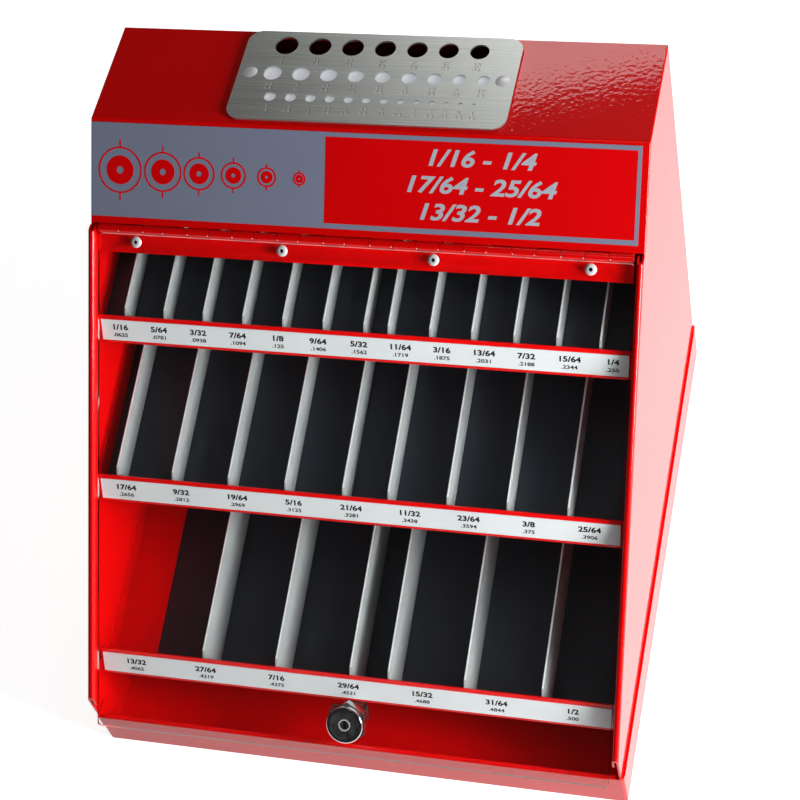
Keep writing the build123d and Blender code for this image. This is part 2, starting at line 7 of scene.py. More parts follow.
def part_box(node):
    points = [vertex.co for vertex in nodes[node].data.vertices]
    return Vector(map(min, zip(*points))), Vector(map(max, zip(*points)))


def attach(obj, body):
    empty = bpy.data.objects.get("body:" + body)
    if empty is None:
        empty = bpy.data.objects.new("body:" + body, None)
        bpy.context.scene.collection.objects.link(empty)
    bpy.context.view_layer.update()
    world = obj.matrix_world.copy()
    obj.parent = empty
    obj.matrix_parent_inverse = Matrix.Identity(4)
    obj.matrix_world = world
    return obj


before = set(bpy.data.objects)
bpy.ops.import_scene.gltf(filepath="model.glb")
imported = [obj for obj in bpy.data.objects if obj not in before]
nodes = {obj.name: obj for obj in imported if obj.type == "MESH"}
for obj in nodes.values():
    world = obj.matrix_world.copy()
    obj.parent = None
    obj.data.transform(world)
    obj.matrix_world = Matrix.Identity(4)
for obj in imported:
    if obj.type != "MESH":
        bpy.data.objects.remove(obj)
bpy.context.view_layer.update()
scene = bpy.context.scene
print("frame loaded:", len(nodes), "nodes")

# The sloping face of the case and the bend at its top, in metres
case = {
    "faceAngle": math.radians(44),
    "bendY": 0.0848,
    "height": 0.276,
}


# A point on the sloping face: distance down from the top bend, and out from the face
def onFace(down, out, x=0.0):
    angle = case["faceAngle"]
    y = case["bendY"] - down * math.cos(angle) - out * math.sin(angle)
    z = case["height"] - down * math.sin(angle) + out * math.cos(angle)
    return Vector((x, y, z))


# A frame there with X across, Y up the slope and Z out, or with a tilt of its own
def facePlane(down, out, x=0.0, tilt=None):
    angle = case["faceAngle"] if tilt is None else tilt
    xAxis = Vector((1, 0, 0))
    yAxis = Vector((0, math.cos(angle), math.sin(angle)))
    zAxis = Vector((0, -math.sin(angle), math.cos(angle)))
    turn = Matrix((xAxis, yAxis, zAxis)).transposed().to_4x4()
    return Matrix.Translation(onFace(down, out, x)) @ turn


# Shared effects are shader node groups. This starts one, with its inputs
# (name, type, default) and its outputs (name, type)
def startGroup(name, inputs, outputs):
    group = bpy.data.node_groups.new(name, "ShaderNodeTree")
    for label, kind, value in inputs:
        socket = group.interface.new_socket(name=label, in_out="INPUT", socket_type=kind)
        socket.default_value = value
    for label, kind in outputs:
        group.interface.new_socket(name=label, in_out="OUTPUT", socket_type=kind)
    entry = group.nodes.new("NodeGroupInput")
    leave = group.nodes.new("NodeGroupOutput")
    return group, entry, leave


# Adds a node and sets plain properties and socket values on it
def addNode(tree, kind, props=None, values=None):
    node = tree.nodes.new(kind)
    for key, value in (props or {}).items():
        setattr(node, key, value)
    for key, value in (values or {}).items():
        node.inputs[key].default_value = value
    return node


# The colour sockets of the mix node stand behind those of its other kinds
mixSockets = {"factor": 0, "first": 6, "second": 7, "result": 2}


def mixColour(tree, factor, first, second):
    mix = addNode(tree, "ShaderNodeMix", {"data_type": "RGBA", "blend_type": "MIX"})
    plug(tree, mix.inputs[mixSockets["factor"]], factor)
    plug(tree, mix.inputs[mixSockets["first"]], first)
    plug(tree, mix.inputs[mixSockets["second"]], second)
    return mix.outputs[mixSockets["result"]]


def calc(tree, operation, first, second=0.0, clamp=False):
    node = addNode(tree, "ShaderNodeMath", {"operation": operation, "use_clamp": clamp})
    plug(tree, node.inputs[0], first)
    plug(tree, node.inputs[1], second)
    return node.outputs[0]


# A base value, plus a factor times a span
def spreadFrom(tree, base, factor, span):
    node = addNode(tree, "ShaderNodeMath", {"operation": "MULTIPLY_ADD"}, {1: span, 2: base})
    plug(tree, node.inputs[0], factor)
    return node.outputs[0]


# Links a socket, or sets a plain value
def plug(tree, socket, value):
    if isinstance(value, bpy.types.NodeSocket):
        tree.links.new(value, socket)
    else:
        socket.default_value = value


# Nought at the low value, one at the high value and straight between them
def rampValue(tree, factor, low, high):
    node = addNode(tree, "ShaderNodeMapRange", {"clamp": True})
    plug(tree, node.inputs["Value"], factor)
    plug(tree, node.inputs["From Min"], low)
    plug(tree, node.inputs["From Max"], high)
    return node.outputs["Result"]


# Fine lumps of a sprayed or baked coat
def makeOrangePeel():
    group, entry, leave = startGroup(
        "OrangePeel",
        [("Scale", "NodeSocketFloat", 700.0), ("Depth", "NodeSocketFloat", 0.5)],
        [("Height", "NodeSocketFloat")],
    )
    place = addNode(group, "ShaderNodeTexCoord")
    fine = addNode(group, "ShaderNodeTexNoise", values={"Detail": 1.5, "Roughness": 0.45})
    broad = addNode(group, "ShaderNodeTexNoise", values={"Detail": 1.0, "Scale": 60.0})
    group.links.new(place.outputs["Object"], fine.inputs["Vector"])
    group.links.new(place.outputs["Object"], broad.inputs["Vector"])
    group.links.new(entry.outputs["Scale"], fine.inputs["Scale"])
    lumps = calc(group, "MULTIPLY", broad.outputs["Fac"], 0.3)
    total = calc(group, "ADD", fine.outputs["Fac"], lumps)
    height = calc(group, "MULTIPLY", total, entry.outputs["Depth"])
    group.links.new(height, leave.inputs["Height"])
    return group


# Soft unevenness of a colour over a surface
def makeToneDrift():
    group, entry, leave = startGroup(
        "ToneDrift",
        [
            ("Colour", "NodeSocketColor", (1, 1, 1, 1)),
            ("Tone", "NodeSocketColor", (0.5, 0.5, 0.5, 1)),
            ("Amount", "NodeSocketFloat", 0.3),
            ("Scale", "NodeSocketFloat", 12.0),
        ],
        [("Colour", "NodeSocketColor"), ("Mask", "NodeSocketFloat")],
    )
    place = addNode(group, "ShaderNodeTexCoord")
    noise = addNode(group, "ShaderNodeTexNoise", values={"Detail": 4.0, "Roughness": 0.55})
    group.links.new(place.outputs["Object"], noise.inputs["Vector"])
    group.links.new(entry.outputs["Scale"], noise.inputs["Scale"])
    mask = rampValue(group, noise.outputs["Fac"], 0.35, 0.7)
    amount = calc(group, "MULTIPLY", mask, entry.outputs["Amount"])
    drifted = mixColour(group, amount, entry.outputs["Colour"], entry.outputs["Tone"])
    group.links.new(drifted, leave.inputs["Colour"])
    group.links.new(mask, leave.inputs["Mask"])
    return group


# Long fine lines of a brushed or rolled metal, running along one axis
def makeBrushLines():
    group, entry, leave = startGroup(
        "BrushLines",
        [
            ("Stretch", "NodeSocketVector", (8.0, 900.0, 900.0)),
            ("Depth", "NodeSocketFloat", 0.3),
        ],
        [("Height", "NodeSocketFloat"), ("Lines", "NodeSocketFloat")],
    )
    place = addNode(group, "ShaderNodeTexCoord")
    spread = addNode(group, "ShaderNodeVectorMath", {"operation": "MULTIPLY"})
    noise = addNode(
        group, "ShaderNodeTexNoise", values={"Scale": 1.0, "Detail": 3.0, "Roughness": 0.6}
    )
    group.links.new(place.outputs["Object"], spread.inputs[0])
    group.links.new(entry.outputs["Stretch"], spread.inputs[1])
    group.links.new(spread.outputs[0], noise.inputs["Vector"])
    height = calc(group, "MULTIPLY", noise.outputs["Fac"], entry.outputs["Depth"])
    group.links.new(height, leave.inputs["Height"])
    group.links.new(noise.outputs["Fac"], leave.inputs["Lines"])
    return group


# Faint specks of dust that lie on a dark surface
def makeDustSpecks():
    group, entry, leave = startGroup(
        "DustSpecks",
        [("Scale", "NodeSocketFloat", 260.0), ("Amount", "NodeSocketFloat", 0.4)],
        [("Mask", "NodeSocketFloat")],
    )
    place = addNode(group, "ShaderNodeTexCoord")
    cells = addNode(group, "ShaderNodeTexVoronoi")
    thin = addNode(group, "ShaderNodeTexNoise", values={"Scale": 20.0})
    group.links.new(place.outputs["Object"], cells.inputs["Vector"])
    group.links.new(place.outputs["Object"], thin.inputs["Vector"])
    group.links.new(entry.outputs["Scale"], cells.inputs["Scale"])
    speck = rampValue(group, cells.outputs["Distance"], 0.10, 0.05)
    some = rampValue(group, thin.outputs["Fac"], 0.5, 0.62)
    both = calc(group, "MULTIPLY", speck, some)
    group.links.new(calc(group, "MULTIPLY", both, entry.outputs["Amount"]), leave.inputs["Mask"])
    return group


# Edge is one on all the edges of the sheet. The second mask is one on its left and its top edge,
# where the sheet gets a painted highlight
def makeEdgeMask():
    group, entry, leave = startGroup(
        "EdgeMask",
        [
            ("Facing", "NodeSocketVector", (0.0, -0.695, 0.719)),
            ("Uphill", "NodeSocketVector", (0.0, 0.719, 0.695)),
        ],
        [("Edge", "NodeSocketFloat"), ("Bright", "NodeSocketFloat")],
    )
    place = addNode(group, "ShaderNodeTexCoord")
    sides = addNode(group, "ShaderNodeSeparateXYZ")
    group.links.new(place.outputs["Normal"], sides.inputs[0])
    along = {}
    for name in ("Facing", "Uphill"):
        compare = addNode(group, "ShaderNodeVectorMath", {"operation": "DOT_PRODUCT"})
        group.links.new(place.outputs["Normal"], compare.inputs[0])
        group.links.new(entry.outputs[name], compare.inputs[1])
        along[name] = compare.outputs["Value"]
    flat = rampValue(group, calc(group, "ABSOLUTE", along["Facing"]), 0.3, 0.7)
    group.links.new(calc(group, "SUBTRACT", 1.0, flat), leave.inputs["Edge"])
    left = calc(group, "MULTIPLY", sides.outputs["X"], -1.0)
    bright = calc(group, "MAXIMUM", left, along["Uphill"])
    group.links.new(rampValue(group, bright, 0.5, 0.9), leave.inputs["Bright"])
    return group


# Painted highlight: one on the faces of a sheet that look up, which are lightened as if they
# caught the light
def makeTopHighlightMask():
    group, entry, leave = startGroup(
        "TopHighlightMask",
        [("From", "NodeSocketFloat", 0.6), ("To", "NodeSocketFloat", 0.9)],
        [("Mask", "NodeSocketFloat")],
    )
    place = addNode(group, "ShaderNodeTexCoord")
    parts = addNode(group, "ShaderNodeSeparateXYZ")
    group.links.new(place.outputs["Normal"], parts.inputs[0])
    mask = rampValue(group, parts.outputs["Z"], entry.outputs["From"], entry.outputs["To"])
    group.links.new(mask, leave.inputs["Mask"])
    return group


# Painted shade: one on the paint that lies in the dark under the window of the hood, which is
# turned near black there in place of the shade inside the case
def makePaintedInnerShadeMask():
    group, entry, leave = startGroup(
        "PaintedInnerShadeMask",
        [
            ("Back", "NodeSocketFloat", 0.120),
            ("Low", "NodeSocketFloat", 0.180),
            ("High", "NodeSocketFloat", 0.2746),
        ],
        [("Mask", "NodeSocketFloat")],
    )
    place = addNode(group, "ShaderNodeTexCoord")
    spot = addNode(group, "ShaderNodeSeparateXYZ")
    side = addNode(group, "ShaderNodeSeparateXYZ")
    group.links.new(place.outputs["Object"], spot.inputs[0])
    group.links.new(place.outputs["Normal"], side.inputs[0])
    behind = calc(group, "GREATER_THAN", spot.outputs["Y"], entry.outputs["Back"])
    above = calc(group, "GREATER_THAN", spot.outputs["Z"], entry.outputs["Low"])
    below = calc(group, "LESS_THAN", spot.outputs["Z"], entry.outputs["High"])
    inward = calc(group, "LESS_THAN", side.outputs["Y"], 0.5)
    across = calc(group, "LESS_THAN", calc(group, "ABSOLUTE", side.outputs["X"]), 0.5)
    level = calc(group, "MULTIPLY", above, below)
    facing = calc(group, "MULTIPLY", inward, across)
    both = calc(group, "MULTIPLY", level, facing)
    group.links.new(calc(group, "MULTIPLY", behind, both), leave.inputs["Mask"])
    return group


orangePeel = makeOrangePeel()
toneDrift = makeToneDrift()
brushLines = makeBrushLines()
dustSpecks = makeDustSpecks()
edgeMask = makeEdgeMask()
topHighlightMask = makeTopHighlightMask()
paintedInnerShadeMask = makePaintedInnerShadeMask()
print("shared effects made")


def startMaterial(name):
    material = bpy.data.materials.new(name)
    material.use_nodes = True
    tree = material.node_tree
    surface = tree.nodes["Principled BSDF"]
    return material, tree, surface


def useGroup(tree, group, values=None):
    node = tree.nodes.new("ShaderNodeGroup")
    node.node_tree = group
    for key, value in (values or {}).items():
        node.inputs[key].default_value = value
    return node


def addBump(tree, surface, height, strength, distance):
    bump = addNode(tree, "ShaderNodeBump", values={"Strength": strength, "Distance": distance})
    tree.links.new(height, bump.inputs["Height"])
    tree.links.new(bump.outputs["Normal"], surface.inputs["Normal"])
    return bump


# The colour of a finish, drifting softly towards its second tone
def driftTone(tree, settings):
    return useGroup(tree, toneDrift, {
        "Colour": settings["colour"], "Tone": settings["tone"],
        "Amount": settings["driftAmount"], "Scale": settings["driftScale"],
    })


def addPeel(tree, surface, settings):
    peel = useGroup(
        tree, orangePeel, {"Scale": settings["peelScale"], "Depth": settings["peelDepth"]}
    )
    height = peel.outputs["Height"]
    return addBump(tree, surface, height, settings["bump"], settings["bumpDistance"])


redCoat = {
    "colour": (0.80, 0.0012, 0.0014, 1),
    "tone": (0.70, 0.0008, 0.0010, 1),
    # near-black paint inside the case under the hood's window: painted shade
    "inner": (0.03, 0.001, 0.001, 1),
    "driftAmount": 0.35,
    "driftScale": 9.0,
    "roughness": 0.36,
    "specular": 0.05,
    "coat": 0.64,
    "coatRoughness": 0.03,
    "peelScale": 420.0,
    "peelDepth": 1.0,
    "bump": 0.20,
    "bumpDistance": 0.0002,
}


def makeRedCoat(name, settings):
    material, tree, surface = startMaterial(name)
    drift = driftTone(tree, settings)
    # Inside the case under the hood's window the paint is turned near black, a painted shade
    inner = useGroup(tree, paintedInnerShadeMask)
    painted = mixColour(tree, inner.outputs["Mask"], drift.outputs["Colour"], settings["inner"])
    tree.links.new(painted, surface.inputs["Base Color"])
    surface.inputs["Roughness"].default_value = settings["roughness"]
    surface.inputs["Specular IOR Level"].default_value = settings["specular"]
    surface.inputs["Coat Weight"].default_value = settings["coat"]
    surface.inputs["Coat Roughness"].default_value = settings["coatRoughness"]
    bump = addPeel(tree, surface, settings)
    tree.links.new(bump.outputs["Normal"], surface.inputs["Coat Normal"])
    return material


blackLiner = {
    "colour": (0.018, 0.023, 0.033, 1),
    "tone": (0.028, 0.034, 0.046, 1),
    "driftAmount": 0.8,
    "driftScale": 14.0,
    "dust": (0.30, 0.30, 0.31, 1),
    "dustScale": 240.0,
    "dustAmount": 0.15,
    "roughness": 0.42,
    "roughnessSpan": 0.12,
    "specular": 0.3,
    "peelScale": 900.0,
    "peelDepth": 0.3,
    "bump": 0.2,
    "bumpDistance": 0.0002,
}


def makeLiner(name, settings):
    material, tree, surface = startMaterial(name)
    drift = driftTone(tree, settings)
    dust = useGroup(
        tree, dustSpecks, {"Scale": settings["dustScale"], "Amount": settings["dustAmount"]}
    )
    mixed = mixColour(tree, dust.outputs["Mask"], drift.outputs["Colour"], settings["dust"])
    tree.links.new(mixed, surface.inputs["Base Color"])
    span = settings["roughnessSpan"]
    rough = spreadFrom(tree, settings["roughness"], drift.outputs["Mask"], span)
    tree.links.new(rough, surface.inputs["Roughness"])
    surface.inputs["Specular IOR Level"].default_value = settings["specular"]
    addPeel(tree, surface, settings)
    return material


greyDivider = {
    "colour": (0.42, 0.44, 0.44, 1),
    "tone": (0.33, 0.35, 0.35, 1),
    # the dividers' top edges, lightened as a painted highlight
    "paintedTopHighlight": (0.85, 0.86, 0.86, 1),
    "driftAmount": 0.6,
    "driftScale": 25.0,
    "metal": 0.1,
    "roughness": 0.42,
    "roughnessSpan": 0.16,
    "stretch": (900.0, 12.0, 700.0),
    "lineDepth": 0.4,
    "bump": 0.15,
    "bumpDistance": 0.0001,
}


# Brush lines in the roughness and in the bump, and their pattern
def addLines(tree, surface, settings):
    lines = useGroup(
        tree, brushLines, {"Stretch": settings["stretch"], "Depth": settings["lineDepth"]}
    )
    pattern, height = lines.outputs["Lines"], lines.outputs["Height"]
    rough = spreadFrom(tree, settings["roughness"], pattern, settings["roughnessSpan"])
    tree.links.new(rough, surface.inputs["Roughness"])
    addBump(tree, surface, height, settings["bump"], settings["bumpDistance"])
    return pattern


def makeDivider(name, settings):
    material, tree, surface = startMaterial(name)
    drift = driftTone(tree, settings)
    top = useGroup(tree, topHighlightMask)
    # The faces that look up get a lighter colour, a painted highlight
    highlightedColour = mixColour(tree, top.outputs["Mask"], drift.outputs["Colour"], settings["paintedTopHighlight"])
    tree.links.new(highlightedColour, surface.inputs["Base Color"])
    surface.inputs["Metallic"].default_value = settings["metal"]
    addLines(tree, surface, settings)
    return material


# What the brushed metals have in common, and what each has of its own
metalBase = {"lineDepth": 0.5, "roughnessSpan": 0.18, "bump": 0.2, "bumpDistance": 0.0001}
gaugeSteel = {
    "colour": (0.68, 0.70, 0.67, 1),
    "tone": (0.46, 0.47, 0.45, 1),
    "roughness": 0.30,
    "stretch": (12.0, 1400.0, 1400.0),
}
lockChrome = {
    "colour": (0.80, 0.80, 0.80, 1),
    "tone": (0.70, 0.70, 0.70, 1),
    "roughness": 0.06,
    "stretch": (300.0, 300.0, 300.0),
    "bump": 0.05,
}
# The plug's strong swing from light to dark along its worked lines is partly its real worked
# pattern and partly painted reflection, standing in for glints
lockPlug = {
    "colour": (0.80, 0.82, 0.83, 1),
    "tone": (0.36, 0.38, 0.39, 1),
    "roughness": 0.20,
    "stretch": (260.0, 260.0, 260.0),
    "bump": 1.0,
}
plainZinc = {
    "colour": (0.76, 0.76, 0.75, 1),
    "tone": (0.62, 0.62, 0.61, 1),
    "roughness": 0.14,
    "stretch": (200.0, 900.0, 900.0),
}
lineTones = {"low": 0.3, "high": 0.75}


def makeBrushedMetal(name, own):
    settings = {**metalBase, **own}
    material, tree, surface = startMaterial(name)
    pattern = addLines(tree, surface, settings)
    shade = rampValue(tree, pattern, lineTones["low"], lineTones["high"])
    mixed = mixColour(tree, shade, settings["tone"], settings["colour"])
    tree.links.new(mixed, surface.inputs["Base Color"])
    surface.inputs["Metallic"].default_value = 1.0
    return material


clearSheet = {
    "colour": (0.97, 0.985, 0.99, 1),
    "ior": 1.49,
    # painted highlight: the glow of the left and top edges, though no lamp is there
    "paintedEdgeHighlight": (1.0, 0.80, 0.80, 1),
    "paintedGlowStrength": 0.30,
    "edgeRoughness": 0.05,
    "shade": (0.80, 0.81, 0.81, 1),
    "edgeShade": (0.06, 0.05, 0.05, 1),
    # painted shade: the dark colour of the other edges
    "paintedDarkEdge": (0.16, 0.05, 0.05, 1),
}


# Clear sheet that lets the light of the lamps through to what is behind it. Its left and top
# edges glow, a painted highlight, and its other edges are coloured dark, a painted shade
def makeClearSheet(name, settings):
    material, tree, surface = startMaterial(name)
    surface.inputs["Transmission Weight"].default_value = 1.0
    surface.inputs["IOR"].default_value = settings["ior"]
    edge = useGroup(tree, edgeMask)
    rough = calc(tree, "MULTIPLY", edge.outputs["Edge"], settings["edgeRoughness"])
    tree.links.new(rough, surface.inputs["Roughness"])
    # The edges other than the left and top are coloured dark, a painted shade, and the left and
    # top ones glow, a painted highlight
    dark = calc(tree, "SUBTRACT", edge.outputs["Edge"], edge.outputs["Bright"], True)
    body = mixColour(tree, dark, settings["colour"], settings["paintedDarkEdge"])
    tree.links.new(body, surface.inputs["Base Color"])
    paintedGlow = mixColour(tree, edge.outputs["Bright"], (0, 0, 0, 1), settings["paintedEdgeHighlight"])
    tree.links.new(paintedGlow, surface.inputs["Emission Color"])
    surface.inputs["Emission Strength"].default_value = settings["paintedGlowStrength"]
    leave = tree.nodes["Material Output"]
    path = addNode(tree, "ShaderNodeLightPath")
    through = addNode(tree, "ShaderNodeBsdfTransparent")
    shade = mixColour(tree, edge.outputs["Edge"], settings["shade"], settings["edgeShade"])
    tree.links.new(shade, through.inputs["Color"])
    mix = addNode(tree, "ShaderNodeMixShader")
    tree.links.new(path.outputs["Is Shadow Ray"], mix.inputs[0])
    tree.links.new(surface.outputs[0], mix.inputs[1])
    tree.links.new(through.outputs[0], mix.inputs[2])
    tree.links.new(mix.outputs[0], leave.inputs["Surface"])
    return material


# What the plain paints, inks and films have in common, and what each has of its own
plainBase = {
    "driftAmount": 0.5,
    "driftScale": 30.0,
    "metal": 0.0,
    "specular": 0.5,
    "peelScale": 1200.0,
    "peelDepth": 0.2,
    "bump": 0.1,
    "bumpDistance": 0.0001,
}
labelFilm = {
    "colour": (0.80, 0.83, 0.83, 1),
    "tone": (0.72, 0.75, 0.76, 1),
    "roughness": 0.35,
    "driftScale": 18.0,
    "peelScale": 1500.0,
}
backingPaint = {
    "colour": (0.42, 0.43, 0.45, 1),
    "tone": (0.38, 0.39, 0.41, 1),
    "roughness": 0.5,
    # the backing glows though it is no lamp: painted light that keeps it pale and even through
    # the holes
    "paintedGlow": (0.90, 0.92, 1.0, 1),
    "paintedGlowStrength": 0.38,
}
# also the white of the hinge's painted glints
rivetPaint = {
    "colour": (0.78, 0.78, 0.79, 1),
    "tone": (0.70, 0.70, 0.71, 1),
    "roughness": 0.32,
    "metal": 0.15,
}
signPaint = {
    "colour": (0.235, 0.26, 0.36, 1),
    "tone": (0.205, 0.23, 0.32, 1),
    "roughness": 0.4,
    "driftScale": 10.0,
    "specular": 0.2,
}
blackPrint = {
    "colour": (0.006, 0.006, 0.008, 1),
    "tone": (0.01, 0.01, 0.01, 1),
    "roughness": 0.5,
    "specular": 0.1,
}
redPrint = {
    "colour": (0.80, 0.0015, 0.003, 1),
    "tone": (0.72, 0.001, 0.002, 1),
    "roughness": 0.35,
    "driftScale": 10.0,
    "specular": 0.1,
}
silverPrint = {
    "colour": (0.50, 0.54, 0.62, 1),
    "tone": (0.45, 0.48, 0.56, 1),
    "roughness": 0.4,
}
stampShadow = {
    "colour": (0.16, 0.16, 0.15, 1),
    "tone": (0.12, 0.12, 0.11, 1),
    "roughness": 0.5,
    "metal": 0.4,
}
stampGlint = {
    "colour": (0.85, 0.86, 0.84, 1),
    "tone": (0.60, 0.61, 0.60, 1),
    "roughness": 0.35,
    "metal": 0.3,
}


def makePlain(name, own):
    settings = {**plainBase, **own}
    material, tree, surface = startMaterial(name)
    drift = driftTone(tree, settings)
    tree.links.new(drift.outputs["Colour"], surface.inputs["Base Color"])
    surface.inputs["Metallic"].default_value = settings["metal"]
    surface.inputs["Roughness"].default_value = settings["roughness"]
    surface.inputs["Specular IOR Level"].default_value = settings["specular"]
    # A finish with a glow gives off light though it is no lamp: painted light
    if "paintedGlow" in settings:
        surface.inputs["Emission Color"].default_value = settings["paintedGlow"]
        surface.inputs["Emission Strength"].default_value = settings["paintedGlowStrength"]
    addPeel(tree, surface, settings)
    return material


redPaint = makeRedCoat("redPowderCoat", redCoat)
linerBlack = makeLiner("blackLiner", blackLiner)
dividerGrey = makeDivider("greyDivider", greyDivider)
filmWhite = makePlain("labelFilm", labelFilm)
gaugeMetal = makeBrushedMetal("gaugeSteel", gaugeSteel)
backingLight = makePlain("gaugeBacking", backingPaint)
rivetAndGlintWhite = makePlain("rivetMetalAndGlint", rivetPaint)
chrome = makeBrushedMetal("lockChrome", lockChrome)
plugMetal = makeBrushedMetal("lockPlug", lockPlug)
zincSteel = makeBrushedMetal("zincSteel", plainZinc)
clearAcrylic = makeClearSheet("clearAcrylic", clearSheet)
signGrey = makePlain("signGrey", signPaint)
inkBlack = makePlain("blackInk", blackPrint)
inkRed = makePlain("redInk", redPrint)
inkSilver = makePlain("silverInk", silverPrint)
stampDark = makePlain("stampedMark", stampShadow)
stampLight = makePlain("stampedGlint", stampGlint)
print("materials made")

finish = {
    "base_pan": redPaint, "side_panel_left": redPaint, "side_panel_right": redPaint,
    "back_panel": redPaint, "hood": redPaint, "upper_tray": redPaint,
    "middle_tray": redPaint, "lower_tray": redPaint, "hinge_upper_leaf": redPaint,
    "hinge_lower_leaf": redPaint, "hinge_pin": zincSteel, "sign_plate": signGrey,
    "gauge_plate": gaugeMetal, "gauge_backing": backingLight, "gauge_rivets": rivetAndGlintWhite,
    "door_rivets": rivetAndGlintWhite, "door_panel": clearAcrylic, "lock_housing": chrome,
    "lock_nut": zincSteel, "lock_plug": plugMetal, "lock_cam": zincSteel, "cam_screw": zincSteel,
}
for nodeName, node in nodes.items():
    material = finish.get(nodeName)
    if nodeName.endswith("_liner"):
        material = linerBlack
    elif "_divider_" in nodeName:
        material = dividerGrey
    elif nodeName.endswith("_label_strip"):
        material = filmWhite
    for place in node.material_slots:
        place.material = material
print("finishes put on the CAD nodes")


# The height of a capital in the built-in font, as a share of its size
fontCapital = 0.72


# A flat solid mark from lines of text (words, x, y, type) on a plane, where a type says
# the height, the stretch sideways, how bold and how slanted
def makeMarks(name, plane, lines, thickness, material, body):
    mesh = bpy.data.meshes.new(name)
    parts = []
    for words, x, y, style in lines:
        curve = bpy.data.curves.new(name + "Text", "FONT")
        curve.body = words
        curve.align_x = "CENTER"
        curve.align_y = "CENTER"
        curve.size = style["height"] / fontCapital
        curve.offset = style["bold"]
        curve.shear = style["slant"]
        curve.extrude = thickness / 2
        curve.resolution_u = 3
        maker = bpy.data.objects.new(name + "Maker", curve)
        scene.collection.objects.link(maker)
        bpy.context.view_layer.update()
        graph = bpy.context.evaluated_depsgraph_get()
        made = bpy.data.meshes.new_from_object(maker.evaluated_get(graph))
        made.transform(Matrix.Diagonal((style["width"], 1, 1, 1)))
        made.transform(Matrix.Translation((x, y, thickness / 2)))
        parts.append(made)
        bpy.data.objects.remove(maker)
        bpy.data.curves.remove(curve)
    joinMeshes(mesh, parts)
    mesh.transform(plane)
    return placePiece(name, mesh, material, body)


def joinMeshes(target, parts):
    points, faces = [], []
    for part in parts:
        start = len(points)
        points += [tuple(v.co) for v in part.vertices]
        faces += [tuple(start + i for i in p.vertices) for p in part.polygons]
        bpy.data.meshes.remove(part)
    target.from_pydata(points, [], faces)
    target.update()


def placePiece(name, mesh, material, body):
    piece = bpy.data.objects.new(name, mesh)
    scene.collection.objects.link(piece)
    mesh.materials.clear()
    mesh.materials.append(material)
    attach(piece, body)
    return piece


def makeMesh(name, points, faces):
    mesh = bpy.data.meshes.new(name)
    mesh.from_pydata(points, [], faces)
    mesh.update()
    return mesh


# Solid plates from outlines in one plane
def plateMesh(name, outlines, thickness):
    points, faces = [], []
    for outline in outlines:
        n = len(outline)
        start = len(points)
        points += [(x, y, 0.0) for x, y in outline]
        points += [(x, y, thickness) for x, y in outline]
        faces.append(tuple(start + i for i in reversed(range(n))))
        faces.append(tuple(start + n + i for i in range(n)))
        for i in range(n):
            j = (i + 1) % n
            faces.append((start + i, start + j, start + n + j, start + n + i))
    return makeMesh(name, points, faces)


# Flat rings (x, y, outer radius, inner radius), or discs where the inner one is nought
def ringMesh(name, rings, thickness, steps=40):
    points, faces = [], []
    for x, y, outer, inner in rings:
        start = len(points)
        loops = [(outer, 0.0), (outer, thickness), (inner, thickness), (inner, 0.0)]
        for radius, height in loops:
            for i in range(steps):
                turn = 2 * math.pi * i / steps
                points.append((x + radius * math.cos(turn), y + radius * math.sin(turn), height))
        for k in range(len(loops)):
            here = start + k * steps
            there = start + (k + 1) % len(loops) * steps
            for i in range(steps):
                j = (i + 1) % steps
                faces.append((here + i, here + j, there + j, there + i))
    return makeMesh(name, points, faces)


def boxOutline(x0, x1, y0, y1):
    return [(x0, y0), (x1, y0), (x1, y1), (x0, y1)]


# A size in 64ths of an inch as a lowest-terms fraction and as a decimal. Eighths and
# larger steps have three places, the others four
def sizeWords(sixtyFourths):
    step = math.gcd(sixtyFourths, 64)
    top, bottom = sixtyFourths // step, 64 // step
    places = 3 if bottom <= 8 else 4
    decimal = f"{sixtyFourths / 64:.{places}f}"[1:]
    return f"{top}/{bottom}", decimal


labelPrint = {
    "fraction": {"height": 0.0031, "width": 1.24, "bold": 0.00016, "slant": 0.0},
    "decimal": {"height": 0.0021, "width": 1.35, "bold": 0.00008, "slant": 0.0},
    "fractionRow": -0.0066,
    "decimalRow": -0.0111,
    "rimAngle": math.radians(60),
    "strip": 0.0005,
    "ink": 0.00004,
    "rims": {  # distance down the face, out from it, sizes in 64ths, first and last x
        "upper": (0.1068, -0.0015, range(4, 17), -0.1347, 0.1370),
        "middle": (0.1962, -0.0015, range(17, 26), -0.1308, 0.1291),
        "lower": (0.2975, -0.0050, range(26, 33), -0.1257, 0.1240),
    },
}
for tier, (down, out, sizes, startX, endX) in labelPrint["rims"].items():
    plane = facePlane(down, out, tilt=labelPrint["rimAngle"])
    plane = plane @ Matrix.Translation((0, 0, labelPrint["strip"]))
    lines = []
    for i, size in enumerate(sizes):
        x = startX + (endX - startX) * i / (len(sizes) - 1)
        for words, kind in zip(sizeWords(size), ("fraction", "decimal")):
            lines.append((words, x, labelPrint[kind + "Row"], labelPrint[kind]))
    makeMarks(tier + "LabelNumbers", plane, lines, labelPrint["ink"], inkBlack, "case")
print("label numbers printed")

signArt = {
    "top": 0.0020,
    "height": 0.0504,
    "panel": (-0.0190, 0.1452, -0.0225, 0.0228),
    "face": 0.0004,
    "ink": 0.00006,
    "words": ("1/16 - 1/4", "17/64 - 25/64", "13/32 - 1/2"),
    "wordsX": 0.0633,
    "lineStep": 0.0140,
    "type": {"height": 0.0085, "width": 1.25, "bold": 0.0003, "slant": 0.25},
}
signPlane = facePlane(signArt["top"] + signArt["height"] / 2, signArt["face"])
redField = plateMesh("signRedField", [boxOutline(*signArt["panel"])], signArt["ink"])
redField.transform(signPlane)
placePiece("signRedField", redField, inkRed, "case")

